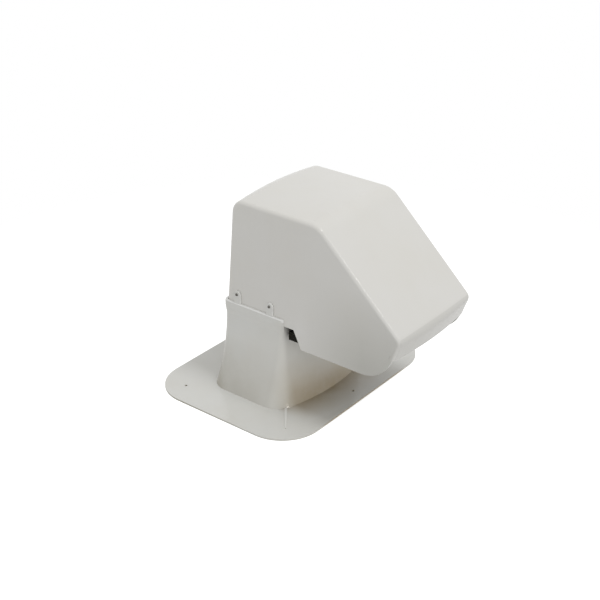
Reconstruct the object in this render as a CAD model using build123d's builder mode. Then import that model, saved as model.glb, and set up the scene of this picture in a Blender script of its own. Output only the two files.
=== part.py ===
"""Roof vent outlet: a moulded roof base, a forward-leaning hood in its socket, a mesh and four screws.

Millimetres, +X towards the outlet, +Z up, origin on the underside of the flange at its centre.
"""
import os
from math import cos, hypot, radians, sin, tan

from build123d import *

# Sizes shared by the two mouldings
sheet = 3.0
body_width = 206.0
throat_length = 121.0
bow = 6.0
edge_r = 6.5
seat_z = 150.5

# Roof flange and its screw holes
flange_length = 316.0
flange_width = 414.0
flange_corner_r = 73.0
flange_hole_r = 2.5
rear_hole_x = 105.0
rear_hole_y = 166.0
front_hole_x = 133.0

# Upstand, flared in one long curve from the seat down to the flange
wall_proud = 2.6
foot_width = 270.0
foot_end_x = 71.0
foot_bow = 25.0
foot_corner_r = 36.0
ridge_start = (74.0, 112.0)
ridge_run = (41.0, 52.0)
ridge_wide = 5.0
ridge_high = 2.4
ridge_end_share = 0.4

# Socket collar and screw lugs
collar_low = 118.0
collar_top = 162.5
collar_proud = 4.6
collar_round = 2.4
collar_past_wall = 3.0
seat_clearance = 0.3
lug_x = 35.0
lug_wide = 13.0
lug_thick = 3.2
screw_z = 179.0

# Screws
shank_r = 1.5
shank_hole_clearance = 0.15
head_r = 2.5
head_high = 1.8
head_rim_high = 0.8
head_flat_r = 1.8
shank_inside = 7.0
point_long = 3.0
recess_long = 2.8
recess_wide = 0.7
recess_deep = 0.9

# Hood side view, given at the cheeks
back_lean = 17.3
top_z = 348.5
back_top_r = 24.0
shoulder_x = 130.8
shoulder_r = 40.0
brow_x = 291.3
brow_z = 197.4
brow_r = 12.0
lip_lean_deg = 19.8
lip_low_z = 161.5
cheek_low_z = 118.4
cheek_corner_r = 61.0
cheek_trim = 2.0
notch_top_x = 83.3
notch_low_x = 98.7

# Mesh across the outlet
mesh_thick = 1.2
mesh_bond_gap = 0.2
mesh_rear_gap = 1.8
mesh_recess = 7.6
mesh_bend_x = 222.0
mesh_rise_deg = 33.0
mesh_flap_high = 21.0
gap_size = 13.0
gap_pitch = 18.0
gap_rows = 10
low_gap_columns = 8
rise_gap_columns = 3

# Values that follow from the sizes above
half_width = body_width / 2
half_length = throat_length / 2
lug_face_y = half_width + seat_clearance + lug_thick
collar_end_x = half_length + collar_past_wall
mesh_rear_x = half_length + wall_proud + bow + mesh_rear_gap
mesh_low_z = cheek_low_z + mesh_recess
lip_lean = radians(lip_lean_deg)
mesh_rise = radians(mesh_rise_deg)
cut_depth = body_width / 3


def hood_corners(move):
    """Side-view corners of the hood skin moved in by move: back foot, back top, shoulder, brow, lip end."""
    back_ratio = back_lean / (top_z - seat_z)
    slope_ratio = (top_z - brow_z) / (brow_x - shoulder_x)
    lip_ratio = tan(lip_lean)
    back_base = -half_length + move * hypot(1, back_ratio)
    slope_base = top_z - move * hypot(1, slope_ratio)
    lip_base = brow_x - move * hypot(1, lip_ratio)
    high = top_z - move
    corner_x = shoulder_x + (slope_base - high) / slope_ratio
    front_x = lip_base + lip_ratio * (slope_base + slope_ratio * shoulder_x - brow_z)
    front_x /= 1 + lip_ratio * slope_ratio
    front_z = slope_base - slope_ratio * (front_x - shoulder_x)
    return [
        (back_base - back_ratio * seat_z, 0),
        (back_base + back_ratio * (high - seat_z), high),
        (corner_x, high),
        (front_x, front_z),
        (lip_base - lip_ratio * (brow_z - lip_low_z) - lip_ratio * move * sin(lip_lean),
         lip_low_z + move * sin(lip_lean)),
    ]


def hood_form(inset):
    """Solid inside the hood skin moved in by inset; a moved form runs on through the open underside."""
    skin_corners = hood_corners(inset)
    edge = edge_r - inset
    core_corners = hood_corners(inset + edge)
    lip_end = skin_corners[-1]
    lip_in = (-cos(lip_lean), sin(lip_lean))
    inside = (lip_end[0] + 4 * edge * lip_in[0], lip_end[1] + 4 * edge * lip_in[1])
    reach = half_width - inset
    with BuildPart() as form:
        # Straight body behind the rounded skin
        with BuildSketch(Plane.XZ) as side:
            with BuildLine():
                Polyline(*core_corners, (0, lip_low_z), (0, 0), close=True)
            make_face()
            for point, radius in zip(core_corners[1:4], (back_top_r, shoulder_r, brow_r)):
                fillet(side.vertices().sort_by_distance((*point, 0))[0], radius - inset - edge)
        extrude(amount=reach, both=True)
        # Cheeks below the lip, or for a moved form the opening between them
        with BuildSketch(Plane.XZ) as lower:
            with BuildLine():
                if inset:
                    outside = (lip_end[0] - cut_depth * lip_in[0], lip_end[1] - cut_depth * lip_in[1])
                    Polyline(inside, outside, (outside[0], 0), (0, 0), (0, lip_low_z), close=True)
                else:
                    start = (lip_end[0] + cheek_trim * lip_in[0], lip_end[1] + cheek_trim * lip_in[1])
                    corner = (start[0] - (start[1] - cheek_low_z) * tan(lip_lean), cheek_low_z)
                    Polyline(inside, start, corner, (0, cheek_low_z), (0, lip_low_z), close=True)
            make_face()
            if not inset:
                fillet(lower.vertices().sort_by_distance((*corner, 0))[0], cheek_corner_r)
        extrude(amount=reach, both=True)
        # Bowed skin with rounded edges, carried over the back, top, slope and lip
        with BuildLine(Plane.XZ) as spine:
            Polyline(*skin_corners)
            for point, radius in zip(skin_corners[1:4], (back_top_r, shoulder_r, brow_r)):
                fillet(spine.vertices().sort_by_distance((point[0], 0, point[1]))[0], radius - inset)
        path = spine.wires()[0]
        with BuildSketch(Plane(origin=path @ 0, x_dir=(0, 1, 0), z_dir=path % 0)) as section:
            with BuildLine():
                ThreePointArc((-reach, 0), (0, bow), (reach, 0))
                Polyline((reach, 0), (reach, -edge - 1), (-reach, -edge - 1), (-reach, 0))
            make_face()
            fillet(section.vertices().filter_by(lambda v: abs(v.Y) < 0.01), edge)
        sweep(path=path)
    return form.part


def wall_plan(share, seat_move, foot_move):
    """Plan of the upstand at a share of its flare; the moves widen it at the seat and at the foot."""
    reach = half_width + seat_move + share * (foot_width / 2 + foot_move - half_width - seat_move)
    end_x = half_length + seat_move + share * (foot_end_x + foot_move - half_length - seat_move)
    bulge = bow + share * (foot_bow - bow)
    corner_r = edge_r + seat_move + share * (foot_corner_r + foot_move - edge_r - seat_move)
    with BuildSketch() as plan:
        with BuildLine():
            Line((-end_x, -reach), (end_x, -reach))
            ThreePointArc((end_x, -reach), (end_x + bulge, 0), (end_x, reach))
            Line((end_x, reach), (-end_x, reach))
            ThreePointArc((-end_x, reach), (-end_x - bulge, 0), (-end_x, -reach))
        make_face()
        fillet(plan.vertices(), corner_r)
    return plan.sketch


# Roof base: flange, flared foot, upstand, socket collar and lugs in one moulding
with BuildPart() as roof_base:
    # Collar around the back and sides, widened out of the wall below the seat
    with BuildSketch(Plane.XY.offset(collar_low)):
        add(wall_plan(0, 0, 0))
    with BuildSketch(Plane.XY.offset(seat_z)):
        add(wall_plan(0, collar_proud, 0))
    loft()
    with BuildSketch(Plane.XY.offset(seat_z)):
        add(wall_plan(0, collar_proud, 0))
    extrude(amount=collar_top - seat_z)
    fillet(roof_base.faces().sort_by(Axis.Z)[-1].edges(), collar_round)
    with BuildSketch(Plane.XY.offset(collar_low)):
        with Locations((collar_end_x, 0)):
            Rectangle(flange_length, flange_width, align=(Align.MIN, Align.CENTER))
        Rectangle(flange_length, body_width - 4 * edge_r, align=(Align.MIN, Align.CENTER))
    extrude(amount=collar_top, mode=Mode.SUBTRACT)
    # Flange
    with BuildSketch():
        RectangleRounded(flange_length, flange_width, flange_corner_r)
    extrude(amount=sheet)
    # Upstand, first the outside down to the flange and then the hollow, which is open below
    outside = (wall_proud, 0, sheet, Mode.ADD)
    hollow = (-sheet, -sheet, 0, Mode.SUBTRACT)
    for seat_move, foot_move, foot_z, mode in (outside, hollow):
        for depth in (1, 0.5, 0):
            with BuildSketch(Plane.XY.offset(seat_z - depth * (seat_z - foot_z))):
                add(wall_plan(depth**2, seat_move, foot_move))
        loft(mode=mode)
    # Socket that takes the neck of the hood, open towards the front
    with BuildSketch(Plane.XY.offset(seat_z)):
        add(wall_plan(0, seat_clearance, 0))
        Rectangle(2 * collar_end_x, body_width + 2 * seat_clearance, align=(Align.MIN, Align.CENTER))
    extrude(amount=collar_top, mode=Mode.SUBTRACT)
    # Lugs for the hood screws
    for face in (-1, 1):
        lug_root = (0, face * (half_width + seat_clearance), 0)
        with BuildSketch(Plane(lug_root, x_dir=(-face, 0, 0), z_dir=(0, face, 0))):
            with Locations((-lug_x, screw_z), (lug_x, screw_z)):
                Circle(lug_wide / 2)
                Rectangle(lug_wide, screw_z - seat_z, align=(Align.CENTER, Align.MAX))
        extrude(amount=lug_thick)
    with Locations((-lug_x, 0, screw_z), (lug_x, 0, screw_z)):
        Cylinder(shank_r + shank_hole_clearance, 2 * body_width, rotation=(90, 0, 0), mode=Mode.SUBTRACT)
    # Low ridges on the flange, running out from the two front corners of the foot
    for side in (-1, 1):
        root = Vector(ridge_start[0], side * ridge_start[1], sheet)
        run = Vector(ridge_run[0], side * ridge_run[1], 0)
        for share in (0, 1):
            with BuildSketch(Plane(root + run * share, x_dir=run.cross(Vector(0, 0, 1)), z_dir=run)):
                size = 1 - (1 - ridge_end_share) * share
                Polygon(
                    (-ridge_wide / 2 * size, -sheet / 2), (ridge_wide / 2 * size, -sheet / 2),
                    (0, ridge_high * size), align=None
                )
        loft()
    # Screw holes in the flange
    with Locations((-rear_hole_x, -rear_hole_y), (-rear_hole_x, rear_hole_y), (front_hole_x, 0)):
        Cylinder(flange_hole_r, 4 * sheet, mode=Mode.SUBTRACT)
roof_base.part.label = "roof_base"

# Hood: one crowned and notched shell
hood_skin = hood_form(0)
hood_hollow = hood_form(sheet)
with BuildPart() as hood:
    add(hood_skin)
    add(hood_hollow, mode=Mode.SUBTRACT)
    # Neck cut level at the seat, with the slanted notch in front of it
    with BuildSketch(Plane.XZ):
        Polygon(
            (-2 * half_length, seat_z), (notch_top_x, seat_z), (notch_low_x, cheek_low_z),
            (notch_low_x, -cut_depth), (-2 * half_length, -cut_depth), align=None
        )
    extrude(amount=body_width, both=True, mode=Mode.SUBTRACT)
    with Locations((-lug_x, 0, screw_z), (lug_x, 0, screw_z)):
        Cylinder(shank_r + shank_hole_clearance, 2 * body_width, rotation=(90, 0, 0), mode=Mode.SUBTRACT)
hood.part.label = "hood"

# Outlet mesh: a tray folded up at its rear, sides and front, trimmed to the inside of the hood
mesh_limit = hood_form(sheet + mesh_bond_gap)
with BuildPart() as outlet_mesh:
    rise = (cos(mesh_rise), sin(mesh_rise))
    flap_top = mesh_low_z + mesh_flap_high
    far = body_width / 2
    with BuildSketch(Plane.XZ):
        with BuildLine():
            top_join = mesh_bend_x - mesh_thick * tan(mesh_rise / 2)
            Polyline(
                (mesh_rear_x, mesh_low_z), (mesh_bend_x, mesh_low_z),
                (mesh_bend_x + far * rise[0], mesh_low_z + far * rise[1]),
                (top_join + far * rise[0], mesh_low_z + mesh_thick + far * rise[1]),
                (top_join, mesh_low_z + mesh_thick), (mesh_rear_x + mesh_thick, mesh_low_z + mesh_thick),
                (mesh_rear_x + mesh_thick, flap_top), (mesh_rear_x, flap_top), close=True
            )
        make_face()
    extrude(amount=body_width, both=True)
    # Side flaps that lie against the cheeks
    flap_reach = half_width - sheet - mesh_bond_gap
    with BuildSketch(Plane.XZ.offset(flap_reach), Plane.XZ.offset(mesh_thick - flap_reach)):
        Polygon(
            (mesh_rear_x, mesh_low_z), (mesh_bend_x, mesh_low_z),
            (mesh_bend_x + mesh_flap_high / tan(mesh_rise), flap_top), (mesh_rear_x, flap_top), align=None
        )
    extrude(amount=-mesh_thick)
    add(mesh_limit, mode=Mode.INTERSECT)
    # Gaps of the level panel and of the rising panel
    with Locations(((mesh_rear_x + mesh_bend_x) / 2, 0, mesh_low_z)):
        with GridLocations(gap_pitch, gap_pitch, low_gap_columns, gap_rows):
            Box(gap_size, gap_size, 4 * mesh_thick, mode=Mode.SUBTRACT)
    along = (rise_gap_columns + 1) / 2 * gap_pitch
    with Locations(
        Plane((mesh_bend_x + along * rise[0], 0, mesh_low_z + along * rise[1]), x_dir=(rise[0], 0, rise[1]),
              z_dir=(-rise[1], 0, rise[0]))
    ):
        with GridLocations(gap_pitch, gap_pitch, rise_gap_columns, gap_rows):
            Box(gap_size, gap_size, 4 * mesh_thick, mode=Mode.SUBTRACT)
outlet_mesh.part.label = "outlet_mesh"

# Four pan-head screws through the lugs into the neck of the hood
with BuildPart() as hood_screws:
    grip = lug_thick + seat_clearance + sheet + shank_inside
    for face in (-1, 1):
        for x in (-lug_x, lug_x):
            under_head = Vector(x, face * lug_face_y, screw_z)
            with BuildSketch(Plane(under_head, x_dir=(0, face, 0), z_dir=(1, 0, 0))):
                with BuildLine():
                    Polyline(
                        (head_high, 0), (-grip, 0), (point_long - grip, shank_r), (0, shank_r), (0, head_r),
                        (head_rim_high, head_r), (head_high, head_flat_r), close=True
                    )
                make_face()
            revolve(axis=Axis(under_head, (0, face, 0)))
            with Locations((x, face * (lug_face_y + head_high), screw_z)):
                Box(recess_long, 2 * recess_deep, recess_wide, mode=Mode.SUBTRACT)
                Box(recess_wide, 2 * recess_deep, recess_long, mode=Mode.SUBTRACT)
hood_screws.part.label = "hood_screws"

os.makedirs("parts", exist_ok=True)
export_step(roof_base.part, "parts/roof_base.step")
export_step(hood.part, "parts/hood.step")
export_step(outlet_mesh.part, "parts/outlet_mesh.step")
export_step(hood_screws.part, "parts/hood_screws.step")
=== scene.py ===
import math

import bpy
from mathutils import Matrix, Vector


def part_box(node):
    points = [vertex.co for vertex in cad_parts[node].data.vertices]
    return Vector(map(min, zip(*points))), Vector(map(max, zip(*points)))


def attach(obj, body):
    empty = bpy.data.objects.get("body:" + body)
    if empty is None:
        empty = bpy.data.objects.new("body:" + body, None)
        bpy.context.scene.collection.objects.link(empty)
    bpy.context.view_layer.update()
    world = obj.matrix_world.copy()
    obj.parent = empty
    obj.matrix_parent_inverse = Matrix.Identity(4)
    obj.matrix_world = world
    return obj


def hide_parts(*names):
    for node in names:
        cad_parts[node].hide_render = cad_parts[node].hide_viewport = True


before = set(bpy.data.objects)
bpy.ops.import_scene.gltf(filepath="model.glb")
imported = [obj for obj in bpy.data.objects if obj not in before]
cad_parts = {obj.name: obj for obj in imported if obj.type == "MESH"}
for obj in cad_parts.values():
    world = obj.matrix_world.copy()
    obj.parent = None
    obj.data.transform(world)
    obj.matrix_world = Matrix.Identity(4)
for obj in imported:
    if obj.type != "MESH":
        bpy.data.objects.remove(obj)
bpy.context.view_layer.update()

# Roof base: flange, flared foot, upstand and socket collar in one moulding of glass-filled resin.
# Its outside is an off-white gelcoat from an open mould, so the gloss is soft and slightly wavy.
# It is bedded on the roof and screwed down through three holes in the flange.


def new_group(name, inputs, outputs):
    """An empty shader group with named sockets, each given as (name, socket kind, default)."""
    group = bpy.data.node_groups.new(name, "ShaderNodeTree")
    for label, kind, default in inputs:
        socket = group.interface.new_socket(label, in_out="INPUT", socket_type="NodeSocket" + kind)
        socket.default_value = default
    for label, kind in outputs:
        group.interface.new_socket(label, in_out="OUTPUT", socket_type="NodeSocket" + kind)
    return group, group.nodes.new("NodeGroupInput").outputs, group.nodes.new("NodeGroupOutput").inputs


def put_group(tree, group, values):
    """A group placed in a tree, with its own value for each named input."""
    node = tree.nodes.new("ShaderNodeGroup")
    node.node_tree = group
    for label, value in values.items():
        node.inputs[label].default_value = value
    return node


def coordinates(tree):
    """Object coordinates, with the X, Y and Z parts of the place and of the way the surface faces."""
    coords = tree.nodes.new("ShaderNodeTexCoord").outputs["Object"]
    place = tree.nodes.new("ShaderNodeSeparateXYZ")
    tree.links.new(coords, place.inputs[0])
    facing = tree.nodes.new("ShaderNodeSeparateXYZ")
    tree.links.new(tree.nodes.new("ShaderNodeNewGeometry").outputs["Normal"], facing.inputs[0])
    return coords, place.outputs, facing.outputs


def noise(tree, vector, scale, detail, roughness=0.5):
    """A noise texture on the given coordinates; its scale is a socket or a number."""
    node = tree.nodes.new("ShaderNodeTexNoise")
    node.inputs["Detail"].default_value = detail
    node.inputs["Roughness"].default_value = roughness
    if isinstance(scale, (int, float)):
        node.inputs["Scale"].default_value = scale
    else:
        tree.links.new(scale, node.inputs["Scale"])
    tree.links.new(vector, node.inputs["Vector"])
    return node.outputs["Fac"]


def maths(tree, operation, first, second):
    """A maths node; each side is a socket or a number."""
    node = tree.nodes.new("ShaderNodeMath")
    node.operation = operation
    for socket, value in zip(node.inputs, (first, second)):
        if isinstance(value, (int, float)):
            socket.default_value = value
        else:
            tree.links.new(value, socket)
    return node.outputs[0]


def product(tree, first, *others):
    """Several masks or values multiplied together."""
    for other in others:
        first = maths(tree, "MULTIPLY", first, other)
    return first


def spread(tree, value, low, high, start=0.0, end=1.0):
    """The value mapped from low..high to start..end and held there."""
    node = tree.nodes.new("ShaderNodeMapRange")
    for label, number in zip(("From Min", "From Max", "To Min", "To Max"), (low, high, start, end)):
        node.inputs[label].default_value = number
    tree.links.new(value, node.inputs["Value"])
    return node.outputs["Result"]


def mixed(tree, factor, first, second):
    """Two colours mixed; each is a socket or a colour."""
    node = tree.nodes.new("ShaderNodeMix")
    node.data_type = "RGBA"
    colour_in = [socket for socket in node.inputs if socket.type == "RGBA"]
    for socket, value in zip(colour_in, (first, second)):
        if isinstance(value, (tuple, list)):
            socket.default_value = value
        else:
            tree.links.new(value, socket)
    tree.links.new(factor, node.inputs[0])
    return [socket for socket in node.outputs if socket.type == "RGBA"][0]


def bumped(tree, surface, height, strength, distance):
    """A bump from the height socket on the surface."""
    bump = tree.nodes.new("ShaderNodeBump")
    bump.inputs["Strength"].default_value = strength
    bump.inputs["Distance"].default_value = distance
    tree.links.new(height, bump.inputs["Height"])
    tree.links.new(bump.outputs["Normal"], surface.inputs["Normal"])


def new_finish(name):
    """A new material with its node tree and its surface shader."""
    material = bpy.data.materials.new(name)
    material.use_nodes = True
    return material, material.node_tree, material.node_tree.nodes["Principled BSDF"]


# Slow patches of tone left by the hand-laid resin behind the gelcoat, with a roughness that follows them
gelcoat_tone, tone_in, tone_out = new_group(
    "gelcoat_tone",
    [("Shell", "Color", (0.8, 0.8, 0.8, 1)), ("Yellowed", "Color", (0.7, 0.7, 0.6, 1)),
     ("Patch Scale", "Float", 9.0), ("Roughness", "Float", 0.35)],
    [("Color", "Color"), ("Roughness", "Float")],
)
most_yellowed = 0.55
scuff_scale = 60
tone_place = gelcoat_tone.nodes.new("ShaderNodeTexCoord").outputs["Object"]
tone_patch = noise(gelcoat_tone, tone_place, tone_in["Patch Scale"], 3)
tone_mask = spread(gelcoat_tone, tone_patch, 0.35, 0.75, 0, most_yellowed)
tone_colour = mixed(gelcoat_tone, tone_mask, tone_in["Shell"], tone_in["Yellowed"])
gelcoat_tone.links.new(tone_colour, tone_out["Color"])
tone_scuff = spread(gelcoat_tone, noise(gelcoat_tone, tone_place, scuff_scale, 4, 0.6), 0.3, 0.7, -0.05, 0.07)
tone_rough = maths(gelcoat_tone, "ADD", tone_in["Roughness"], tone_scuff)
gelcoat_tone.links.new(tone_rough, tone_out["Roughness"])

# Orange peel of the sprayed gelcoat over the slow waves of a thin moulding
gelcoat_peel, peel_in, peel_out = new_group(
    "gelcoat_peel", [("Wave", "Float", 1.0), ("Peel", "Float", 0.03)], [("Height", "Float")]
)
wave_scale = 14
peel_scale = 420
peel_place = gelcoat_peel.nodes.new("ShaderNodeTexCoord").outputs["Object"]
peel_wave = product(gelcoat_peel, noise(gelcoat_peel, peel_place, wave_scale, 1), peel_in["Wave"])
peel_fine = product(gelcoat_peel, noise(gelcoat_peel, peel_place, peel_scale, 2), peel_in["Peel"])
gelcoat_peel.links.new(maths(gelcoat_peel, "ADD", peel_wave, peel_fine), peel_out["Height"])

# Grime that settles where faces look up and runs down where they stand
roof_grime, grime_in, grime_out = new_group(
    "roof_grime", [("Settled", "Float", 0.2), ("Runs", "Float", 0.1)], [("Mask", "Float")]
)
speck_scale = 38
streak_scale = 70
streak_stretch = (1.0, 1.0, 0.06)
grime_coords, _, grime_facing = coordinates(roof_grime)
grime_up = spread(roof_grime, grime_facing["Z"], 0.3, 0.95)
grime_specks = spread(roof_grime, noise(roof_grime, grime_coords, speck_scale, 5, 0.65), 0.5, 0.78)
grime_lying = product(roof_grime, grime_up, grime_specks, grime_in["Settled"])
grime_stretch = roof_grime.nodes.new("ShaderNodeMapping")
grime_stretch.inputs["Scale"].default_value = streak_stretch
roof_grime.links.new(grime_coords, grime_stretch.inputs["Vector"])
grime_runs = noise(roof_grime, grime_stretch.outputs["Vector"], streak_scale, 3)
grime_streaks = spread(roof_grime, grime_runs, 0.52, 0.75)
grime_upright = spread(roof_grime, grime_facing["Z"], 0.1, 0.5, 1, 0)
grime_running = product(roof_grime, grime_upright, grime_streaks, grime_in["Runs"])
roof_grime.links.new(maths(roof_grime, "ADD", grime_lying, grime_running), grime_out["Mask"])


def gelcoat(name, shell, yellowed, grime, roughness):
    """Off-white gelcoat with slow tone patches, orange peel and a trace of roof grime."""
    material, tree, surface = new_finish(name)
    surface.inputs["Specular IOR Level"].default_value = 0.38
    tone = put_group(tree, gelcoat_tone, {"Shell": shell, "Yellowed": yellowed, "Roughness": roughness})
    dirt = put_group(tree, roof_grime, {"Settled": 0.02, "Runs": 0.012})
    peel = put_group(tree, gelcoat_peel, {})
    coloured = mixed(tree, dirt.outputs["Mask"], tone.outputs["Color"], grime)
    tree.links.new(coloured, surface.inputs["Base Color"])
    tree.links.new(tone.outputs["Roughness"], surface.inputs["Roughness"])
    bumped(tree, surface, peel.outputs["Height"], strength=0.12, distance=0.002)
    return material


def lay_painted_light(material, group, colours):
    """Lays a group of painted shade and highlight over a material's colour, with its own colours."""
    tree = material.node_tree
    overlay = put_group(tree, group, colours)
    colour = tree.nodes["Principled BSDF"].inputs["Base Color"]
    tree.links.new(colour.links[0].from_socket, overlay.inputs["Color"])
    tree.links.new(overlay.outputs["Color"], colour)


# Painted light on the base: painted shade low on the walls, behind the upstand and under the mouth, and
# painted highlights on ridge crests, the collar rim and the lug edges
base_shade_and_highlight, painted_in, painted_out = new_group(
    "base_shade_and_highlight",
    [("Color", "Color", (0.8, 0.8, 0.8, 1)), ("Foot Shade", "Color", (0.5, 0.5, 0.45, 1)),
     ("Under Mouth Shade", "Color", (0.4, 0.33, 0.25, 1)), ("Highlight", "Color", (0.9, 0.9, 0.88, 1))],
    [("Color", "Color")],
)
cloud_scale = 16
upstand_side = 0.095
shelter_side = 0.13
painted_coords, painted_place, painted_facing = coordinates(base_shade_and_highlight)
painted_cloud = spread(base_shade_and_highlight, noise(base_shade_and_highlight, painted_coords, cloud_scale, 4, 0.6), 0.3, 0.7, 0.75, 1.15)
painted_standing = spread(base_shade_and_highlight, painted_facing["Z"], 0.5, 0.8, 1, 0)
painted_lying = maths(base_shade_and_highlight, "SUBTRACT", 1, painted_standing)
painted_side = maths(base_shade_and_highlight, "ABSOLUTE", painted_place["Y"], 0)
painted_middle = spread(base_shade_and_highlight, painted_side, shelter_side, upstand_side)

# Painted shade on the standing walls, darkest low down at the rear, and painted shade with a warm tint on the
# flange behind the upstand
foot_shade_top = 0.1
foot_shade_foot = 0.003
painted_low = spread(base_shade_and_highlight, painted_place["Z"], foot_shade_top, foot_shade_foot)
painted_rear = spread(base_shade_and_highlight, painted_place["X"], 0.06, -0.07, 0.25, 0.85)
painted_behind = spread(base_shade_and_highlight, painted_place["X"], -0.06, -0.115, 0, 0.16)
shade_behind_upstand = product(base_shade_and_highlight, painted_lying, painted_behind, painted_middle)
foot_shade = maths(base_shade_and_highlight, "ADD", product(base_shade_and_highlight, painted_standing, painted_low, painted_rear), shade_behind_upstand)
foot_shade_mask = product(base_shade_and_highlight, foot_shade, painted_cloud)
foot_shade_colour = mixed(base_shade_and_highlight, foot_shade_mask, painted_in["Color"], painted_in["Foot Shade"])

# Painted shade, tinted brown, in the shelter under the mouth: on the bowed front wall, and on the flange
# before its crease
front_bow = 1.37
under_mouth_top = 0.09
under_mouth_foot = 0.004
crease_reach = 0.1
under_mouth_reach = 0.15
painted_bow = product(base_shade_and_highlight, painted_place["Y"], painted_place["Y"], front_bow)
painted_reach = maths(base_shade_and_highlight, "ADD", painted_place["X"], painted_bow)
painted_height = spread(base_shade_and_highlight, painted_place["Z"], under_mouth_top, under_mouth_foot, 0.1, 0.62)
under_mouth_wall = product(base_shade_and_highlight, painted_height, spread(base_shade_and_highlight, painted_reach, 0.06, 0.09), painted_standing)
painted_outwards = spread(base_shade_and_highlight, painted_reach, crease_reach, under_mouth_reach, 0.65, 0.08)
under_mouth_crease = product(base_shade_and_highlight, painted_outwards, spread(base_shade_and_highlight, painted_reach, 0.088, 0.094), painted_lying)
under_mouth_shade = maths(base_shade_and_highlight, "ADD", under_mouth_wall, under_mouth_crease)
under_mouth_mask = product(base_shade_and_highlight, under_mouth_shade, painted_middle, painted_cloud)
under_mouth_colour = mixed(base_shade_and_highlight, under_mouth_mask, foot_shade_colour, painted_in["Under Mouth Shade"])

# Painted highlights on the crests of the two flange ridges, on the rim of the collar and on the lug edges
rim_low = 0.156
rim_high = 0.159
crest_above = spread(base_shade_and_highlight, painted_place["Z"], 0.0034, 0.0046, 0, 0.45)
crest_below = spread(base_shade_and_highlight, painted_place["Z"], 0.0058, 0.0062, 1, 0)
crest_highlight = product(base_shade_and_highlight, crest_above, crest_below, painted_lying)
painted_up = spread(base_shade_and_highlight, painted_facing["Z"], 0.25, 0.6)
painted_ahead = spread(base_shade_and_highlight, painted_facing["X"], 0.25, 0.6)
painted_edge = maths(base_shade_and_highlight, "MAXIMUM", painted_up, painted_ahead)
rim_highlight = product(base_shade_and_highlight, spread(base_shade_and_highlight, painted_place["Z"], rim_low, rim_high), painted_edge)
highlight_mask = maths(base_shade_and_highlight, "MAXIMUM", crest_highlight, rim_highlight)
base_shade_and_highlight.links.new(mixed(base_shade_and_highlight, highlight_mask, under_mouth_colour, painted_in["Highlight"]), painted_out["Color"])

base_shell = (0.74, 0.741, 0.712, 1)
base_yellowed = (0.7, 0.682, 0.625, 1)
base_grime = (0.33, 0.3, 0.24, 1)
# The next two colours are painted shade, and the one after them a painted highlight
base_foot_shade = (0.42, 0.395, 0.325, 1)
base_under_mouth = (0.36, 0.265, 0.13, 1)
base_highlight = (0.93, 0.93, 0.91, 1)
base_finish = gelcoat("base_gelcoat", base_shell, base_yellowed, base_grime, roughness=0.14)
lay_painted_light(base_finish, base_shade_and_highlight, {"Foot Shade": base_foot_shade, "Under Mouth Shade": base_under_mouth, "Highlight": base_highlight})
roof_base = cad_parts["roof_base"]
roof_base.data.materials.clear()
roof_base.data.materials.append(base_finish)

# Hood: one crowned shell moulded like the base, with a neck that drops into the socket collar.
# It is the same resin from a second mould, a shade cleaner than the base.
# Painted shade darkens the low front corners of its cheeks and its lip.
cheek_lip_shade, cheek_lip_in, cheek_lip_out = new_group(
    "cheek_lip_shade",
    [("Color", "Color", (0.8, 0.8, 0.8, 1)), ("Shade", "Color", (0.5, 0.5, 0.48, 1))],
    [("Color", "Color")],
)
cheek_shade_rear = 0.1
cheek_shade_front = 0.22
cheek_shade_top = 0.27
cheek_shade_foot = 0.13
lip_shade = 0.34
_, mouth_place, mouth_facing = coordinates(cheek_lip_shade)
mouth_aside = maths(cheek_lip_shade, "ABSOLUTE", mouth_facing["Y"], 0)
mouth_cheek = spread(cheek_lip_shade, mouth_aside, 0.8, 0.98)
mouth_front = spread(cheek_lip_shade, mouth_place["X"], cheek_shade_rear, cheek_shade_front)
mouth_low = spread(cheek_lip_shade, mouth_place["Z"], cheek_shade_top, cheek_shade_foot)
cheek_shade_mask = product(cheek_lip_shade, mouth_front, mouth_low, mouth_cheek)
mouth_ahead = spread(cheek_lip_shade, mouth_facing["X"], 0.82, 0.88, 0, lip_shade)
lip_shade_mask = product(cheek_lip_shade, mouth_front, mouth_ahead)
cheek_lip_mask = maths(cheek_lip_shade, "MAXIMUM", cheek_shade_mask, lip_shade_mask)
cheek_lip_colour = mixed(cheek_lip_shade, cheek_lip_mask, cheek_lip_in["Color"], cheek_lip_in["Shade"])
cheek_lip_shade.links.new(cheek_lip_colour, cheek_lip_out["Color"])

hood_shell = (0.752, 0.742, 0.71, 1)
hood_yellowed = (0.722, 0.705, 0.652, 1)
# This colour is painted shade on the low front of the cheeks and on the lip
hood_shade = (0.55, 0.545, 0.505, 1)
hood_finish = gelcoat("hood_gelcoat", hood_shell, hood_yellowed, base_grime, roughness=0.16)
lay_painted_light(hood_finish, cheek_lip_shade, {"Shade": hood_shade})
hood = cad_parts["hood"]
hood.data.materials.clear()
hood.data.materials.append(hood_finish)

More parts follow.
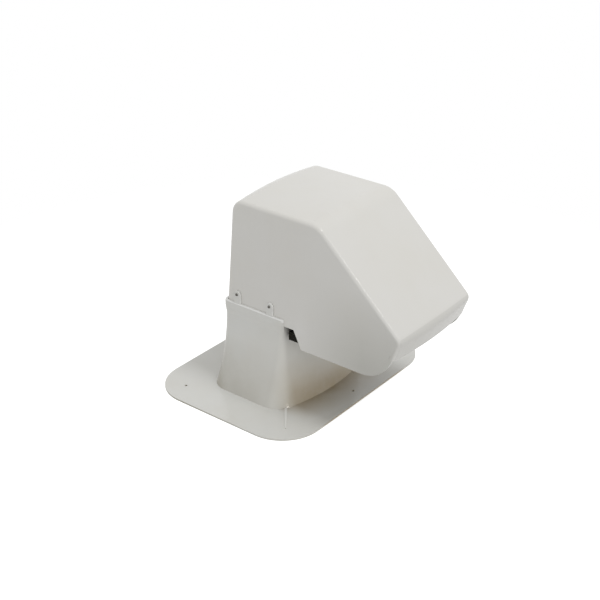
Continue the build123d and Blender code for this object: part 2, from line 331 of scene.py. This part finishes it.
# Hood screws: four small pan-head screws, steel with a zinc plating that has dulled and tarnished.
# They go through the lugs of the base into the neck of the hood, two on each side.
screw_zinc = (0.26, 0.25, 0.235, 1)
screw_tarnish = (0.09, 0.08, 0.065, 1)
tarnish_scale = 900
plating_scale = 2500
zinc_finish, zinc_tree, zinc_surface = new_finish("dull_zinc")
zinc_surface.inputs["Metallic"].default_value = 0.8
zinc_place = zinc_tree.nodes.new("ShaderNodeTexCoord").outputs["Object"]
zinc_mask = spread(zinc_tree, noise(zinc_tree, zinc_place, tarnish_scale, 3, 0.6), 0.35, 0.7)
zinc_colour = mixed(zinc_tree, zinc_mask, screw_zinc, screw_tarnish)
zinc_tree.links.new(zinc_colour, zinc_surface.inputs["Base Color"])
zinc_tree.links.new(spread(zinc_tree, zinc_mask, 0, 1, 0.42, 0.62), zinc_surface.inputs["Roughness"])
zinc_grain = noise(zinc_tree, zinc_place, plating_scale, 2)
bumped(zinc_tree, zinc_surface, zinc_grain, strength=0.2, distance=0.0002)
hood_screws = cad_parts["hood_screws"]
hood_screws.data.materials.clear()
hood_screws.data.materials.append(zinc_finish)

# Outlet mesh: one sheet of black woven plastic strand, folded up at the rear and sides into a tray.
# It is bonded inside the cheeks and rises at the front to the inside of the lip.
mesh_low, mesh_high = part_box("outlet_mesh")
strand_pitch = 0.0036
strand_wide = 0.0027
strand_thick = 0.0005
strand_lift = 0.00032
weave_steps = (0, 1, 0, -1)
half_sheet = 0.0006
front_margin = 0.001
tray_z = mesh_low.z + half_sheet
tray_rear = mesh_low.x + half_sheet
tray_side = mesh_high.y - half_sheet
tray_flap = 0.0204
tray_bend = 0.222
tray_rise = math.radians(33)
lip_bow = 0.006
level_run = tray_bend - tray_rear
rise_run = (mesh_high.x - front_margin - tray_bend) / math.cos(tray_rise)


def tray_along(distance):
    """Place and outward normal on the middle section of the tray, measured from the top of the rear flap."""
    if distance < tray_flap:
        return Vector((tray_rear, 0, tray_z + tray_flap - distance)), Vector((-1, 0, 0))
    distance -= tray_flap
    if distance < level_run:
        return Vector((tray_rear + distance, 0, tray_z)), Vector((0, 0, -1))
    distance -= level_run
    rise = Vector((math.cos(tray_rise), 0, math.sin(tray_rise)))
    return Vector((tray_bend, 0, tray_z)) + rise * distance, Vector((rise.z, 0, -rise.x))


def tray_across(distance):
    """Offset across the tray and up its side flaps, with the outward normal, measured from the middle."""
    side = 1 if distance > 0 else -1
    over = abs(distance) - tray_side
    if over < 0:
        return Vector((0, distance, 0)), None
    return Vector((0, side * tray_side, over)), Vector((0, side, 0))


def lip_short(across):
    """How much shorter the tray is, off the middle, to follow the bowed lip."""
    return lip_bow * (across / tray_side) ** 2 / math.cos(tray_rise)


def strand(points, normals, vertices, faces):
    """A flat strand with a four-cornered section along the points, closed at both ends."""
    first = len(vertices)
    for index, (point, normal) in enumerate(zip(points, normals)):
        before = points[max(index - 1, 0)]
        after = points[min(index + 1, len(points) - 1)]
        flat = (after - before).cross(normal).normalized() * strand_wide / 2
        tall = normal * strand_thick / 2
        vertices.extend([point + flat, point + tall, point - flat, point - tall])
    for ring in range(len(points) - 1):
        start = first + 4 * ring
        for corner in range(4):
            beside = (corner + 1) % 4
            faces.append((start + corner, start + beside, start + 4 + beside, start + 4 + corner))
    last = first + 4 * (len(points) - 1)
    faces.append((first + 3, first + 2, first + 1, first))
    faces.append((last, last + 1, last + 2, last + 3))


weave_vertices = []
weave_faces = []
run_total = tray_flap + level_run + rise_run
run_count = int(run_total / strand_pitch)
flap_count = int(tray_flap / strand_pitch)
cross_count = int(2 * tray_side / strand_pitch)
cross_first = -(cross_count - 1) / 2 * strand_pitch

# Strands that run from the rear flap down and forward to the lip
for row in range(cross_count):
    across = cross_first + row * strand_pitch
    points = []
    normals = []
    for half_step in range(2 * run_count):
        distance = (half_step / 2 + 0.5) * strand_pitch
        if distance > run_total - lip_short(across):
            break
        place, normal = tray_along(distance)
        lift = strand_lift * weave_steps[(half_step + 2 * row) % 4]
        points.append(place + Vector((0, across, 0)) + normal * lift)
        normals.append(normal)
    strand(points, normals, weave_vertices, weave_faces)

# Strands that cross the tray, and on the level panel also climb the side flaps
for column in range(run_count):
    along = (column + 0.75) * strand_pitch
    place, normal = tray_along(along)
    on_level = tray_flap < along < tray_flap + level_run
    steps = cross_count + (2 * flap_count if on_level else 0)
    points = []
    normals = []
    for half_step in range(2 * steps - 1):
        across = (half_step / 2 - (steps - 1) / 2) * strand_pitch
        offset, side_normal = tray_across(across)
        facing = side_normal or normal
        if along > run_total - lip_short(across):
            continue
        lift = strand_lift * weave_steps[(half_step + 2 * column + 1) % 4]
        points.append(place + offset + facing * lift)
        normals.append(facing)
    if len(points) > 1:
        strand(points, normals, weave_vertices, weave_faces)

# Strands that run along the two side flaps
for side in (-1, 1):
    for level in range(1, flap_count):
        height = level * strand_pitch
        flap_run = level_run + height / math.tan(tray_rise)
        points = []
        normals = []
        for half_step in range(int(2 * flap_run / strand_pitch)):
            ahead = tray_rear + (half_step / 2 + 0.25) * strand_pitch
            lift = strand_lift * weave_steps[(half_step + 2 * level) % 4]
            points.append(Vector((ahead, side * (tray_side + lift), tray_z + height)))
            normals.append(Vector((0, side, 0)))
        strand(points, normals, weave_vertices, weave_faces)

weave_mesh = bpy.data.meshes.new("woven_outlet_mesh")
weave_mesh.from_pydata(weave_vertices, [], weave_faces)
weave_mesh.update()
woven_mesh = bpy.data.objects.new("woven_outlet_mesh", weave_mesh)
bpy.context.scene.collection.objects.link(woven_mesh)

strand_black = (0.006, 0.0057, 0.0032, 1)
strand_dusty = (0.018, 0.0165, 0.0095, 1)
dust_scale = 55
most_dust = 0.6
strand_finish, strand_tree, strand_surface = new_finish("black_strand")
strand_surface.inputs["Specular IOR Level"].default_value = 0.12
strand_place = strand_tree.nodes.new("ShaderNodeTexCoord").outputs["Object"]
strand_cloud = noise(strand_tree, strand_place, dust_scale, 4, 0.6)
strand_dust = spread(strand_tree, strand_cloud, 0.45, 0.8, 0, most_dust)
strand_colour = mixed(strand_tree, strand_dust, strand_black, strand_dusty)
strand_rough = spread(strand_tree, strand_dust, 0, most_dust, 0.48, 0.8)
strand_tree.links.new(strand_colour, strand_surface.inputs["Base Color"])
strand_tree.links.new(strand_rough, strand_surface.inputs["Roughness"])
weave_mesh.materials.append(strand_finish)
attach(woven_mesh, "root")
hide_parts("outlet_mesh")

# Studio floor: a wide sheet of pale paper under the flange, which keeps the shadow of the part.
# It is white where it is seen or mirrored, and fades out into the white surround.
floor_reach = 1.5
floor_grey = (0.8, 0.8, 0.8, 1)
glow_seen = 0.75
glow_mirrored = 0.25
fade_start = 0.45
fade_end = 0.9
floor_corners = [(-floor_reach, -floor_reach, 0), (floor_reach, -floor_reach, 0)]
floor_corners += [(floor_reach, floor_reach, 0), (-floor_reach, floor_reach, 0)]
floor_mesh = bpy.data.meshes.new("studio_floor")
floor_mesh.from_pydata(floor_corners, [], [(0, 1, 2, 3)])
floor = bpy.data.objects.new("studio_floor", floor_mesh)
bpy.context.scene.collection.objects.link(floor)
floor_finish, floor_tree, floor_default = new_finish("floor_paper")
floor_tree.nodes.remove(floor_default)
floor_paper = floor_tree.nodes.new("ShaderNodeBsdfDiffuse")
floor_paper.inputs["Color"].default_value = floor_grey
floor_glow = floor_tree.nodes.new("ShaderNodeEmission")
floor_rays = floor_tree.nodes.new("ShaderNodeLightPath").outputs
floor_seen = maths(floor_tree, "MAXIMUM", floor_rays["Is Camera Ray"], floor_rays["Is Transmission Ray"])
floor_white = product(floor_tree, floor_seen, glow_seen)
floor_mirrored = product(floor_tree, floor_rays["Is Glossy Ray"], glow_mirrored)
floor_tree.links.new(maths(floor_tree, "MAXIMUM", floor_white, floor_mirrored), floor_glow.inputs["Strength"])
floor_sum = floor_tree.nodes.new("ShaderNodeAddShader")
floor_tree.links.new(floor_paper.outputs[0], floor_sum.inputs[0])
floor_tree.links.new(floor_glow.outputs[0], floor_sum.inputs[1])
floor_clear = floor_tree.nodes.new("ShaderNodeBsdfTransparent")
floor_fade = floor_tree.nodes.new("ShaderNodeMixShader")
floor_place = floor_tree.nodes.new("ShaderNodeTexCoord").outputs["Object"]
floor_far = floor_tree.nodes.new("ShaderNodeVectorMath")
floor_far.operation = "LENGTH"
floor_tree.links.new(floor_place, floor_far.inputs[0])
floor_faded = spread(floor_tree, floor_far.outputs["Value"], fade_start, fade_end)
floor_tree.links.new(floor_faded, floor_fade.inputs[0])
floor_tree.links.new(floor_sum.outputs[0], floor_fade.inputs[1])
floor_tree.links.new(floor_clear.outputs[0], floor_fade.inputs[2])
floor_tree.links.new(floor_fade.outputs[0], floor_tree.nodes["Material Output"].inputs["Surface"])
floor_mesh.materials.append(floor_finish)

# Surround: a plain soft light from all round the part.
# It is white where it is seen directly, mirrored or through something clear.
surround_level = 0.64
surround = bpy.data.worlds.new("studio_surround")
bpy.context.scene.world = surround
surround.use_nodes = True
surround_tree = surround.node_tree
surround_sky = surround_tree.nodes["Background"]
surround_sky.inputs["Color"].default_value = (1, 1, 1, 1)
surround_rays = surround_tree.nodes.new("ShaderNodeLightPath").outputs
surround_seen = maths(
    surround_tree, "MAXIMUM", surround_rays["Is Camera Ray"], surround_rays["Is Transmission Ray"]
)
surround_seen = maths(surround_tree, "MAXIMUM", surround_seen, surround_rays["Is Glossy Ray"])
surround_strength = spread(surround_tree, surround_seen, 0, 1, surround_level, 1)
surround_tree.links.new(surround_strength, surround_sky.inputs["Strength"])

# Lamps: a small key high above the mouth, which draws the shadow on the flange, a far strip that glints
# on the edges of the slope, and a weak, warm, low fill that reaches in under the mouth.


def soft_box(name, place, aim, across, deep, watts, tint, grid_deg=180):
    """A soft box at place, turned towards aim; across is its side along the width of the hood."""
    lamp = bpy.data.lights.new(name, "AREA")
    lamp.shape = "RECTANGLE"
    lamp.size = across
    lamp.size_y = deep
    lamp.energy = watts
    lamp.color = tint
    lamp.spread = math.radians(grid_deg)
    holder = bpy.data.objects.new(name, lamp)
    holder.location = place
    holder.rotation_mode = "QUATERNION"
    holder.rotation_quaternion = (aim - place).to_track_quat("-Z", "Y")
    bpy.context.scene.collection.objects.link(holder)


key_place = Vector((0.62, -0.02, 1.9))
key_aim = Vector((0.1, -0.02, 0.2))
soft_box("key_light", key_place, key_aim, across=0.3, deep=0.3, watts=6.0, tint=(1.0, 0.995, 0.985))
strip_place = Vector((2.12, 0.08, 2.55))
strip_aim = Vector((0.21, 0.08, 0.27))
soft_box("edge_strip", strip_place, strip_aim, across=0.9, deep=0.32, watts=6.5, tint=(1.0, 0.99, 0.97))
fill_place = Vector((1.0, 0.0, 0.12))
fill_aim = Vector((0.1, 0, 0.05))
fill_tint = (1.0, 0.97, 0.9)
soft_box("low_fill", fill_place, fill_aim, across=0.6, deep=0.1, watts=0.042, tint=fill_tint, grid_deg=18)

# Camera: above and to the left of the outlet's mouth, on a long lens.
# It looks at the middle of the part from about two metres away.
camera_aim = Vector((0.0128, 0, 0.1472))
camera_turn = math.radians(38.29)
camera_rise = math.radians(27.57)
camera_far = 2.10875
camera_level = math.cos(camera_rise)
camera_back = Vector((
    math.sin(camera_turn) * camera_level,
    -math.cos(camera_turn) * camera_level,
    math.sin(camera_rise),
))
lens = bpy.data.cameras.new("studio_camera")
lens.lens = 73.44
lens.sensor_width = 36
lens.shift_x = 0.0023
lens.shift_y = -0.0057
camera = bpy.data.objects.new("studio_camera", lens)
camera.location = camera_aim + camera_back * camera_far
camera.rotation_mode = "QUATERNION"
camera.rotation_quaternion = (-camera_back).to_track_quat("-Z", "Y")
bpy.context.scene.collection.objects.link(camera)
bpy.context.scene.camera = camera
bpy.context.scene.view_settings.view_transform = "Standard"
